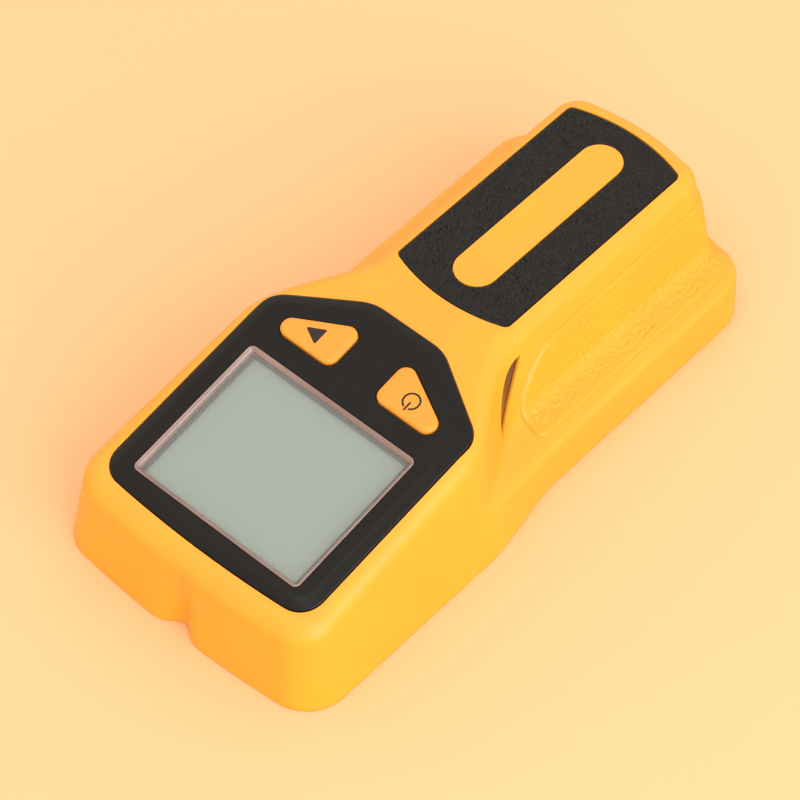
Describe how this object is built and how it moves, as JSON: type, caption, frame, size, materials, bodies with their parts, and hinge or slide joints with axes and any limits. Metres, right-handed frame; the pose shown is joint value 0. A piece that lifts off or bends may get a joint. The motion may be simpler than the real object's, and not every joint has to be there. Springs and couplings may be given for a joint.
{
  "type": "stud finder",
  "caption": "Handheld wall scanner with a wide head, tilted display, push buttons, marking notch, side lamps, inlaid grip handle and a hinged battery door underneath.",
  "frame": {"origin": "centre of the sensing face, on the underside", "axes": "+Y towards the notched front edge of the head, +Z out of the display, +X to the right when the notch points up"},
  "size_m": [0.0722, 0.148, 0.0341],
  "materials": {
    "yellow_plastic": "satin moulded ABS",
    "grip_yellow": "fine grained",
    "cover_plastic": "satin",
    "black_bezel": "satin",
    "black_grip": "leather grain",
    "button_orange": "satin",
    "mark_dark": "printed",
    "clear_lens": "clear polycarbonate",
    "lcd_glass": "reflective grey-green",
    "diffuser": "white",
    "frame_plastic": "white moulding",
    "elastomer": "layered strip",
    "red_lens": "deep red translucent",
    "pcb_green": "solder mask",
    "chip_black": "moulded",
    "steel": "zinc plated",
    "copper": "copper",
    "spring_metal": "nickel plated",
    "coil_wire": "enamelled winding",
    "switch_black": "moulded",
    "lamp_red": "tinted lamp",
    "battery_skin": "printed sleeve",
    "wire_red": "insulation",
    "felt": "felt"
  },
  "bodies": {
    "casing": {"top_shell": "yellow_plastic", "bottom_cover": "cover_plastic", "side_grip_left": "grip_yellow", "side_grip_right": "grip_yellow", "grip_inlay": "black_grip", "display_bezel": "black_bezel", "display_lens": "clear_lens", "lcd_panel": "lcd_glass", "backlight": "diffuser", "lcd_frame": "frame_plastic", "contact_strips": "elastomer", "power_switch": "switch_black", "mode_switch": "switch_black", "side_lens_left": "red_lens", "side_lens_right": "red_lens", "lamp_board_left": "pcb_green", "lamp_board_right": "pcb_green", "side_lamp_left": "lamp_red", "side_lamp_right": "lamp_red", "main_board": "pcb_green", "board_screws": "steel", "board_chips": "chip_black", "buzzer": "chip_black", "sensor_board": "pcb_green", "sensing_plates": "copper", "detection_coil": "coil_wire", "board_link": "chip_black", "battery": "battery_skin", "contact_block": "frame_plastic", "battery_contacts": "spring_metal", "battery_leads": "wire_red", "lamp_leads": "wire_red", "case_screws": "steel", "felt_pads": "felt"},
    "power_key": {"power_button": "button_orange", "power_mark": "mark_dark", "power_plunger": "switch_black"},
    "mode_key": {"mode_button": "button_orange", "mode_mark": "mark_dark", "mode_plunger": "switch_black"},
    "door": {"battery_door": "cover_plastic"},
    "latch": {"door_latch": "cover_plastic"}
  },
  "joints": [
    {"name": "power_press", "type": "slide", "parent": "casing", "child": "power_key", "axis": [0, -0.1874, -0.9823], "range_m": [0, 0.0005], "stiffness_N_per_m": 4000, "springref_m": -0.0002},
    {"name": "mode_press", "type": "slide", "parent": "casing", "child": "mode_key", "axis": [0, -0.1874, -0.9823], "range_m": [0, 0.0005], "stiffness_N_per_m": 4000, "springref_m": -0.0002},
    {"name": "door_hinge", "type": "hinge", "parent": "casing", "child": "door", "pos_m": [0, -0.0112, 0.0009], "axis": [-1, 0, 0], "range_deg": [-100, 0]},
    {"name": "latch_slide", "type": "slide", "parent": "door", "child": "latch", "axis": [0, 1, 0], "range_m": [0, 0.0014]}
  ]
}
